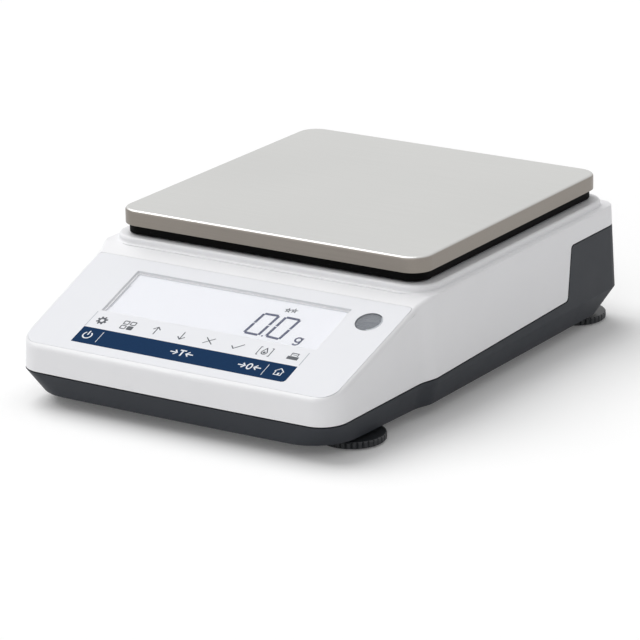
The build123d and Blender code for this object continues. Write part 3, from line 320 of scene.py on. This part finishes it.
# Screen-printed inks, back-printed on the film: flat, with a faint mottle of the mesh
NAVY = printed_ink("navy_ink", "#18365a", "#163253", 0.6, 0.02)
WHITE_INK = printed_ink("white_ink", "#e6e9ee", "#dde1e7", 0.5)
# Lip of the window, where the film's white ends: a step darker than the film
BORDER_INK = printed_ink("pale_border_ink", "#dcdde1", "#d6d7db", 0.5, 0.1)
# Grey and pale inks print the signs and lines; the same inks also paint the shade and the highlight on the level's rim
GREY_INK_AND_PAINTED_RIM_SHADE = printed_ink("grey_ink_and_painted_rim_shade", "#4d5157", "#565a60", 0.5)
PALE_INK_AND_PAINTED_RIM_HIGHLIGHT = printed_ink("pale_ink_and_painted_rim_highlight", "#aeb2b8", "#b6bac0", 0.5)
# Dark segments of the display: blue-black, seen through the glass
SEGMENT = printed_ink("display_segments", "#1c2750", "#222e5a", 0.4, 0.1)

FINISH = {
    "base_housing": SLATE, "top_housing": WHITE, "touch_film": FILM, "display_window": PANE,
    "display_glass": DISPLAY_AND_LIP_GLOW, "display_frame": TRAY, "display_board": BOARD, "display_screws": ZINC,
    "level_cup": CUP, "weighing_pan": STEEL, "pan_support": BLACK, "pan_bumpers": RUBBER,
    "support_screw": ZINC, "load_post": TURNED, "load_arm": CAST, "arm_bolts": ZINC, "load_cell": MILLED,
    "strain_gauges": SEALANT, "cell_spacer": ZINC, "cell_bolts": ZINC, "chassis": CAST,
    "chassis_screws": ZINC, "overload_stop": ZINC, "main_board": BOARD, "board_screws": ZINC,
    "power_socket": BLACK, "usb_socket": SHELL, "serial_socket": SHELL, "housing_screws": ZINC,
    "foot_inserts": BRASS, "level_vial": LENS,
}
for corner in ("front_left", "front_right", "rear_left", "rear_right"):
    FINISH["foot_wheel_" + corner] = WHEEL
    FINISH["foot_pad_" + corner] = RUBBER


def dress(node, material):
    """Gives a CAD node its finished material."""
    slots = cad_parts[node].material_slots
    if len(slots) == 0:
        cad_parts[node].data.materials.append(material)
    for entry in slots:
        entry.material = material


def piece(name, vertices, faces, material, body, smooth=True):
    """Puts worked-out points and faces into a mesh that rides on a body."""
    mesh = bpy.data.meshes.new(name)
    mesh.from_pydata(np.asarray(vertices).tolist(), [], faces)
    mesh.materials.append(material)
    mesh.polygons.foreach_set("use_smooth", [smooth] * len(mesh.polygons))
    obj = bpy.data.objects.new(name, mesh)
    bpy.context.collection.objects.link(obj)
    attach(obj, body)
    return obj


def on_panel(x, s, n):
    """Panel place, in mm across, up the slope and out of it, turned into metres in the row frame."""
    x, s, n = np.broadcast_arrays(x, s, n)
    y = PANEL_Y + s * math.cos(TILT) - n * math.sin(TILT)
    z = PANEL_Z + s * math.sin(TILT) + n * math.cos(TILT)
    return np.stack([x, y, z], axis=-1) * MM


def stroke(points, width, closed=False):
    """Line of a given width along points: each point is moved both ways along the mean normal of its two runs,
    and farther at a corner by one over the cosine of half its turn."""
    p = np.asarray(points, float)
    if closed:
        before, after = p - np.roll(p, 1, 0), np.roll(p, -1, 0) - p
    else:
        run = np.diff(p, axis=0)
        before, after = np.vstack([run[:1], run]), np.vstack([run, run[-1:]])
    before /= np.linalg.norm(before, axis=1)[:, None]
    after /= np.linalg.norm(after, axis=1)[:, None]
    mean = before + after
    mean /= np.linalg.norm(mean, axis=1)[:, None]
    side = np.stack([-mean[:, 1], mean[:, 0]], 1) / np.maximum(0.3, (mean * after).sum(1))[:, None]
    edges = np.vstack([p + side * width / 2, p - side * width / 2])
    count = len(p)
    last = count if closed else count - 1
    faces = [(count + k, count + (k + 1) % count, (k + 1) % count, k) for k in range(last)]
    return edges, faces


def arc(x, s, radius, start, end, count=24):
    """Points on a circle from one angle to another, in degrees, counted from straight right."""
    turn = np.radians(np.linspace(start, end, count))
    return np.stack([x + radius * np.cos(turn), s + radius * np.sin(turn)], 1)


def filled(points):
    """One flat face inside the points, which run counterclockwise."""
    p = np.asarray(points, float)
    return p, [tuple(range(len(p)))]


def slanted(points, x, s, size):
    """Points of a sign drawn about zero, at a size and place."""
    return np.asarray(points, float) * size + [x, s]


def print_marks(name, marks, height, material, body):
    """Joins flat marks into one piece at a height over the panel."""
    places, faces = [], []
    start = 0
    for points, rings in marks:
        places.append(on_panel(points[:, 0], points[:, 1], height))
        faces += [tuple(i + start for i in ring) for ring in rings]
        start += len(points)
    return piece(name, np.vstack(places), faces, material, body, smooth=False)


def rounded_box(x0, x1, s0, s1, radius):
    """Outline of a rectangle whose corners are quarter circles."""
    corners = [(x1 - radius, s0 + radius, -90), (x1 - radius, s1 - radius, 0), (x0 + radius, s1 - radius, 90),
               (x0 + radius, s0 + radius, 180)]
    return np.vstack([arc(x, s, radius, a, a + 90, 7) for x, s, a in corners])


def key_bar():
    """Navy bar of the three fixed keys, and the white signs on it."""
    bar = filled([(-64.3, 7.9), (59.0, 7.7), (60.3, 8.2), (60.9, 9.5), (60.9, 20.3), (-64.3, 20.3)])
    print_marks("key_bar", [bar], INK, NAVY, "body")
    marks = []
    marks.append(stroke(arc(-58.4, 14.2, 2.4, 125, 415), 0.75))
    marks.append(stroke([(-58.4, 14.4), (-58.4, 17.6)], 0.75))
    marks.append(stroke([(-51.1, 10.2), (-51.1, 18.4)], 0.35))
    marks.append(stroke([(46.2, 9.9), (46.2, 18.1)], 0.35))
    for x, sign in ((-2.2, "tare"), (37.2, "zero")):
        for way in (-1, 1):
            tip = x + way * 2.6
            tail = x + way * 6.6
            marks.append(stroke([(tail, 14.2), (tip, 14.2)], 0.75))
            marks.append(stroke([(tip + way * 1.6, 15.9), (tip, 14.2), (tip + way * 1.6, 12.5)], 0.75))
        if sign == "tare":
            marks.append(stroke([(x - 1.8, 16.3), (x + 1.8, 16.3)], 0.85))
            marks.append(stroke([(x, 16.3), (x, 12.1)], 0.95))
        else:
            ring = arc(x, 14.2, 1.0, 0, 360, 25)[:-1]
            ring[:, 0] = x + (ring[:, 0] - x) * 1.25
            ring[:, 1] = 14.2 + (ring[:, 1] - 14.2) * 2.0
            marks.append(stroke(ring, 0.8, closed=True))
    house = [(-2.6, 0.3), (0, 2.7), (2.6, 0.3)]
    marks.append(stroke(slanted(house, 54.0, 14.2, 1.0), 0.5))
    walls = [(-1.9, 0.4), (-1.9, -2.3), (1.9, -2.3), (1.9, 0.4)]
    marks.append(stroke(slanted(walls, 54.0, 14.2, 1.0), 0.5))
    marks.append(stroke(slanted([(0.3, -2.2), (0.3, -0.6)], 54.0, 14.2, 1.0), 1.0))
    print_marks("key_bar_signs", marks, 2 * INK, WHITE_INK, "body")


def touch_signs():
    """Grey signs of the touch keys above the bar, and the thin lines beside them."""
    marks = []
    s = 26.7
    marks.append(stroke(arc(-57.8, s, 1.7, 0, 360, 25)[:-1], 1.2, closed=True))
    for k in range(8):
        turn = math.radians(45 * k + 22.5)
        ray = np.array([math.cos(turn), math.sin(turn)])
        marks.append(stroke([np.array([-57.8, s]) + ray * 2.0, np.array([-57.8, s]) + ray * 3.1], 1.1))
    for dx in (-2.0, 2.0):
        for ds in (-1.8, 1.8):
            x, y = -42 + dx, s + ds
            marks.append(stroke(rounded_box(x - 1.4, x + 1.4, y - 1.2, y + 1.2, 0.4), 0.6, True))
    marks.append(filled([(-41.2, s - 3.2), (-38.6, s - 3.2), (-38.6, s - 0.8), (-41.2, s - 0.8)]))
    for x, way in ((-25.5, 1), (-9.8, -1)):
        marks.append(stroke([(x, s - 2.9 * way), (x, s + 2.9 * way)], 0.6))
        marks.append(stroke([(x - 2.1, s + 0.9 * way), (x, s + 2.9 * way), (x + 2.1, s + 0.9 * way)], 0.6))
    marks.append(stroke([(3.4, s - 2.3), (8.6, s + 2.3)], 0.55))
    marks.append(stroke([(3.4, s + 2.3), (8.6, s - 2.3)], 0.55))
    marks.append(stroke([(19.3, s - 0.2), (21.2, s - 2.1), (25.6, s + 2.1)], 0.6))
    for way in (-1, 1):
        x = 38.4 + way * 3.6
        marks.append(stroke([(x - way * 0.9, s + 3.0), (x, s + 3.0), (x, s - 3.0), (x - way * 0.9, s - 3.0)], 0.5))
    drop = np.vstack([arc(38.4, s - 0.7, 1.5, -210, 30, 17), [(38.4, s + 2.6)]])
    marks.append(stroke(drop, 0.6, closed=True))
    marks.append(filled(arc(38.4, s - 0.8, 0.8, 0, 330, 12)))
    marks.append(filled([(51.6, s - 2.2), (57.8, s - 2.2), (57.8, s + 0.2), (51.6, s + 0.2)]))
    marks.append(stroke([(52.9, s + 0.4), (52.9, s + 2.6), (56.5, s + 2.6), (56.5, s + 0.4)], 0.55))
    marks.append(stroke([(53.6, s + 1.4), (55.8, s + 1.4)], 0.4))
    print_marks("touch_signs", marks, INK, GREY_INK_AND_PAINTED_RIM_SHADE, "body")
    lines = [stroke([(-64.3, 20.8), (-64.3, 33.0)], 0.4), stroke([(61.0, 21.5), (61.0, 31.6)], 0.5)]
    print_marks("side_lines", lines, INK, PALE_INK_AND_PAINTED_RIM_HIGHLIGHT, "body")


def readout():
    """Two slanted nought digits, their point, the unit and the small signs, on the display glass."""
    shift = np.array([SIGHT_X, SIGHT_S]) * GLASS_DEPTH
    marks = []
    digits = [
        ((21.6, 53.7), (30.0, 53.9), (19.5, 37.6), (27.8, 37.4)),
        ((34.0, 53.9), (42.3, 53.7), (32.1, 37.8), (39.9, 37.2)),
    ]
    for corners in digits:
        tl, tr, bl, br = (np.array(c) + shift for c in corners)
        for a, b in ((tl, tr), (bl, br)):
            marks.append(stroke([a + (b - a) * 0.04, b - (b - a) * 0.04], 1.6))
        for a, b in ((bl, tl), (br, tr)):
            marks.append(stroke([a + (b - a) * 0.01, a + (b - a) * 0.485], 1.6))
            marks.append(stroke([a + (b - a) * 0.515, a + (b - a) * 0.99], 1.6))
    marks.append(filled(arc(30.1 + shift[0], 37.3 + shift[1], 0.55, 0, 330, 12)))
    gx, gs = 50.0 + shift[0], 39.2 + shift[1]
    marks.append(stroke(arc(gx, gs, 1.7, 0, 360, 25)[:-1], 1.0, closed=True))
    tail = np.vstack([[(gx + 1.9, gs + 1.9), (gx + 1.6, gs - 2.2)], arc(gx - 0.1, gs - 2.4, 1.6, -10, -150, 9)])
    marks.append(stroke(tail, 1.0))
    print_marks("readout", marks, INK - GLASS_DEPTH, SEGMENT, "body")
    small = []
    for x, s in ((32.0, 59.2), (35.4, 59.6)):
        star = np.vstack([arc(x + shift[0], s + shift[1], r, 90 + 72 * k + d, 90 + 72 * k + d, 1)
                          for k in range(5) for r, d in ((1.35, 0), (0.6, 36))])
        small.append(stroke(star, 0.6, closed=True))
    frame_marks = [(-59.0, 38.0), (-59.9, 38.0), (-59.9, 55.7), (-59.0, 55.7)]
    print_marks("display_signs", small, INK - GLASS_DEPTH, GREY_INK_AND_PAINTED_RIM_SHADE, "body")
    faint = [stroke(np.array(frame_marks) + shift, 0.35), stroke([(-61.0, 34.8), (61.0, 34.8)], 0.25)]
    print_marks("display_frame_lines", faint, INK - GLASS_DEPTH, PALE_INK_AND_PAINTED_RIM_HIGHLIGHT, "body")


def window_lip():
    """Pale bevelled lip round the window, from the film's edge down to the display: a ring of four flat sides,
    whose inner edge is the outer one brought in by a width."""

    def ring(inset, n):
        x, s = WINDOW_HALF_X - inset, WINDOW_HALF_S - inset
        return on_panel(np.array([-x, x, x, -x]), np.array([-s, -s, s, s]) + WINDOW_S, n)

    index = np.arange(4)
    sides = np.stack([index, (index + 1) % 4, (index + 1) % 4 + 4, index + 4], -1).tolist()
    lip = np.vstack([ring(0.0, INK / 2), ring(0.6, -GLASS_DEPTH / 2)])
    piece("window_lip", lip, sides, BORDER_INK, "body", smooth=False)
    # The lower half of the bevel gets the display's material, so it glows with painted light and reads as part of the
    # display
    edge = np.vstack([ring(0.6, -GLASS_DEPTH / 2), ring(1.3, INK - GLASS_DEPTH)])
    piece("lip_edge_painted_glow", edge, sides, DISPLAY_AND_LIP_GLOW, "body", smooth=False)


def level_cover():
    """Smoked cover film over the round level, flush with the panel, with painted shade and a painted highlight on the
    rim of its hole.
    """
    x, s = LEVEL_X, LEVEL_S
    radius = LEVEL_HOLE - 0.15
    share = np.linspace(0, 1, 12)
    # The cover swells by a tenth of a mm, with the square of the share of the radius
    heights = -0.02 - 0.1 * share ** 2
    turn = np.arange(64) * math.pi / 32
    across = x + np.outer(share[1:] * radius, np.cos(turn))
    along = s + np.outer(share[1:] * radius, np.sin(turn))
    rise = np.repeat(heights[1:, None], 64, 1)
    skin = on_panel(across.ravel(), along.ravel(), rise.ravel())
    back = on_panel(across[-1], along[-1], np.full(64, -0.3))
    poles = on_panel(np.array([x, x]), np.array([s, s]), np.array([heights[0], -0.3]))
    points = np.vstack([poles, skin, back])
    grid = 2 + np.arange(12 * 64).reshape(12, 64)
    beside = np.roll(grid, -1, axis=1)
    quads = np.stack([grid[:-1], grid[1:], beside[1:], beside[:-1]], axis=-1).reshape(-1, 4)
    top = np.stack([np.zeros(64, int), grid[0], beside[0]], axis=-1)
    under = np.stack([np.ones(64, int), beside[-1], grid[-1]], axis=-1)
    faces = quads.tolist() + top.tolist() + under.tolist()
    piece("level_cover", points, faces, SMOKED, "body")
    # Painted shade on the rim: a grey crescent whose inner edge is a circle moved down to the right, so it's widest at
    # the upper left
    outer, inner = arc(x, s, LEVEL_HOLE - 0.05, 50, 250, 40), arc(x + 0.45, s - 0.5, 6.7, 50, 250, 40)
    index = np.arange(39)
    faces = np.stack([index + 40, index + 41, index + 1, index], -1).tolist()
    print_marks("level_rim_painted_shade", [(np.vstack([outer, inner]), faces)], INK, GREY_INK_AND_PAINTED_RIM_SHADE, "body")
    # Painted highlight on the rim: a pale crescent at the right, whose inner edge is a circle moved up to the left
    outer, inner = arc(x, s, LEVEL_HOLE - 0.05, -70, 40, 40), arc(x - 0.7, s + 0.3, 6.75, -70, 40, 40)
    print_marks("level_rim_painted_highlight", [(np.vstack([outer, inner]), faces)], INK, PALE_INK_AND_PAINTED_RIM_HIGHLIGHT, "body")


def turned(name, profile, centre, material, body, count=64):
    """Body of revolution about an upright axis, in mm: a profile point at radius r and height z goes round as
    (x + r cos a, y + r sin a, z). The profile runs from the top pole to the bottom pole, and each is one point."""
    r, z = np.asarray(profile, float).T
    turn = np.arange(count) * 2 * math.pi / count
    rings = np.stack(
        [centre[0] + np.outer(r[1:-1], np.cos(turn)), centre[1] + np.outer(r[1:-1], np.sin(turn)),
         np.repeat(z[1:-1, None], count, 1)], axis=-1,
    )
    poles = [(centre[0], centre[1], z[0]), (centre[0], centre[1], z[-1])]
    vertices = np.vstack([poles, rings.reshape(-1, 3)]) * MM
    grid = 2 + np.arange(rings.shape[0] * count).reshape(rings.shape[0], count)
    beside = np.roll(grid, -1, axis=1)
    quads = np.stack([grid[:-1], grid[1:], beside[1:], beside[:-1]], axis=-1).reshape(-1, 4)
    top = np.stack([np.zeros(count, int), grid[0], beside[0]], axis=-1)
    bottom = np.stack([np.ones(count, int), beside[-1], grid[-1]], axis=-1)
    return piece(name, vertices, quads.tolist() + top.tolist() + bottom.tolist(), material, body)


def bubble_level():
    """Round level: tinted liquid under a domed lens, with a bubble and the ring that it is centred in."""
    low, high = (np.asarray(corner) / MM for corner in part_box("level_vial"))
    centre = ((low[0] + high[0]) / 2, (low[1] + high[1]) / 2)
    radius = (high[0] - low[0]) / 2
    dome = 0.8
    shoulder = high[2] - dome
    share = np.linspace(0, 1, 14)
    # Height of the dome falls with the square of the share of the radius
    cap = np.stack([share * (radius - 0.25), high[2] - dome * share ** 2], 1)
    wall = [(radius, shoulder - 0.25), (radius, low[2] + 0.2), (radius - 0.2, low[2]), (0, low[2])]
    lens = turned("level_lens", np.vstack([cap, wall]), centre, LENS, "body")
    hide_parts("level_vial")
    inner = radius - 0.5
    hollow = np.stack([share * inner, high[2] - 0.35 - dome * share ** 2 * 0.9], 1)
    wall = [(inner, low[2] + 0.6), (inner - 0.1, low[2] + 0.5), (0, low[2] + 0.5)]
    turned("level_liquid", np.vstack([hollow, wall]), centre, LIQUID, "body")
    size = 1.9
    # Flattened drop: height is the root of one less the square of the share, over and under
    half = np.linspace(0, math.pi, 15)
    drop = np.stack([size * np.sin(half), high[2] - 0.38 + 0.3 * np.cos(half)], 1)
    turned("level_bubble", drop, (centre[0] + 0.5, centre[1] - 0.4), BUBBLE, "body", 40)
    ring = np.linspace(0, 2 * math.pi, 49)[:-1]
    tube = np.linspace(0, 2 * math.pi, 9)[:-1]
    r = 2.9 + 0.09 * np.cos(tube)
    rise = high[2] - dome * (2.9 / radius) ** 2 + 0.02 + 0.09 * np.sin(tube)
    points = np.stack(
        [centre[0] + np.outer(np.cos(ring), r), centre[1] + np.outer(np.sin(ring), r), np.tile(rise, (48, 1))], -1,
    )
    index = np.arange(48 * 8).reshape(48, 8)
    on, up = np.roll(index, -1, 0), np.roll(index, -1, 1)
    faces = np.stack([index, on, np.roll(on, -1, 1), up], -1).reshape(-1, 4)
    piece("level_ring", points.reshape(-1, 3) * MM, faces.tolist(), GREY_INK_AND_PAINTED_RIM_SHADE, "body")


def place_camera():
    """Long lens from the front right, a little above; the roll turns right and up about the line of sight."""
    azimuth, elevation, roll = (math.radians(v) for v in (33.03, 18.07, -0.99))
    flat = math.cos(elevation)
    back = np.array([math.sin(azimuth) * flat, -math.cos(azimuth) * flat, math.sin(elevation)])
    level = np.array([math.cos(azimuth), math.sin(azimuth), 0.0])
    raised = np.cross(back, level)
    right = math.cos(roll) * level + math.sin(roll) * raised
    up = -math.sin(roll) * level + math.cos(roll) * raised
    target = np.array([23.07, -36.96, 34.0]) * MM
    data = bpy.data.cameras.new("camera")
    data.lens = 218.9
    data.sensor_width = 36.0
    data.clip_start = 0.05
    data.clip_end = 50.0
    camera = bpy.data.objects.new("camera", data)
    matrix = np.eye(4)
    matrix[:3, 0], matrix[:3, 1], matrix[:3, 2] = right, up, back
    matrix[:3, 3] = target + back * 1.93456
    bpy.context.collection.objects.link(camera)
    camera.matrix_world = matrix.T.tolist()
    scene.camera = camera


def lamp(name, kind, direction, energy, size, distance=1.4):
    """Lamp that looks at the object from a direction."""
    data = bpy.data.lights.new(name, kind)
    data.energy = energy
    if kind == "SUN":
        data.angle = math.radians(size)
    else:
        data.size = size
    obj = bpy.data.objects.new(name, data)
    bpy.context.collection.objects.link(obj)
    line = np.array(direction, float)
    line /= np.linalg.norm(line)
    side = np.cross([0.0, 0.0, 1.0], line) if abs(line[2]) < 0.99 else np.array([1.0, 0.0, 0.0])
    side /= np.linalg.norm(side)
    matrix = np.eye(4)
    matrix[:3, 0], matrix[:3, 1], matrix[:3, 2] = side, np.cross(line, side), line
    matrix[:3, 3] = line * distance
    obj.matrix_world = matrix.T.tolist()
    return obj


def studio():
    """Pale floor, an even pale room and soft lamps from above; the lens, metal and glass see them as white."""
    material, tree, shader = new_material("pale_studio_floor")
    shader.inputs["Base Color"].default_value = linear("#f8f8f8")
    shader.inputs["Roughness"].default_value = 0.9
    shader.inputs["Specular IOR Level"].default_value = 0.1
    path = add(tree, "ShaderNodeLightPath")
    seen = add(
        tree, "ShaderNodeMath",
        [(0, path.outputs["Is Camera Ray"]), (1, path.outputs["Is Glossy Ray"])],
        operation="MAXIMUM",
    )
    seen = add(
        tree, "ShaderNodeMath",
        [(0, seen.outputs[0]), (1, path.outputs["Is Transmission Ray"])],
        operation="MAXIMUM",
    )
    lift = add(tree, "ShaderNodeMath", [(0, seen.outputs[0]), (1, 0.08)], operation="MULTIPLY")
    glow = add(tree, "ShaderNodeEmission", [("Strength", lift.outputs[0])])
    both = add(tree, "ShaderNodeAddShader", [(0, shader.outputs[0]), (1, glow.outputs[0])])
    out = next(node for node in tree.nodes if node.bl_idname == "ShaderNodeOutputMaterial")
    tree.links.new(both.outputs[0], out.inputs["Surface"])
    mesh = bpy.data.meshes.new("floor")
    reach = 6.0
    corners = [(-reach, -reach, 0), (reach, -reach, 0), (reach, reach, 0), (-reach, reach, 0)]
    mesh.from_pydata(corners, [], [(0, 1, 2, 3)])
    mesh.materials.append(material)
    floor = bpy.data.objects.new("floor", mesh)
    bpy.context.collection.objects.link(floor)
    world = bpy.data.worlds.new("room")
    scene.world = world
    world.use_nodes = True
    room = world.node_tree
    room.nodes.clear()
    light = add(room, "ShaderNodeBackground", [("Color", linear("#ffffff")), ("Strength", 0.41)])
    white = add(room, "ShaderNodeBackground", [("Color", linear("#ffffff")), ("Strength", 1.0)])
    path = add(room, "ShaderNodeLightPath")
    seen = add(
        room, "ShaderNodeMath",
        [(0, path.outputs["Is Camera Ray"]), (1, path.outputs["Is Glossy Ray"])],
        operation="MAXIMUM",
    )
    seen = add(
        room, "ShaderNodeMath",
        [(0, seen.outputs[0]), (1, path.outputs["Is Transmission Ray"])],
        operation="MAXIMUM",
    )
    mix = add(room, "ShaderNodeMixShader", [(0, seen.outputs[0]), (1, light.outputs[0]), (2, white.outputs[0])])
    add(room, "ShaderNodeOutputWorld", [("Surface", mix.outputs[0])])
    lamp("overhead", "SUN", (-0.6, 0.1, 1.0), 1.9, 50)
    lamp("fill", "SUN", (0.05, -1.0, 0.45), 0.45, 80)


place_camera()
studio()
for node, material in FINISH.items():
    dress(node, material)
key_bar()
touch_signs()
readout()
window_lip()
bubble_level()
level_cover()
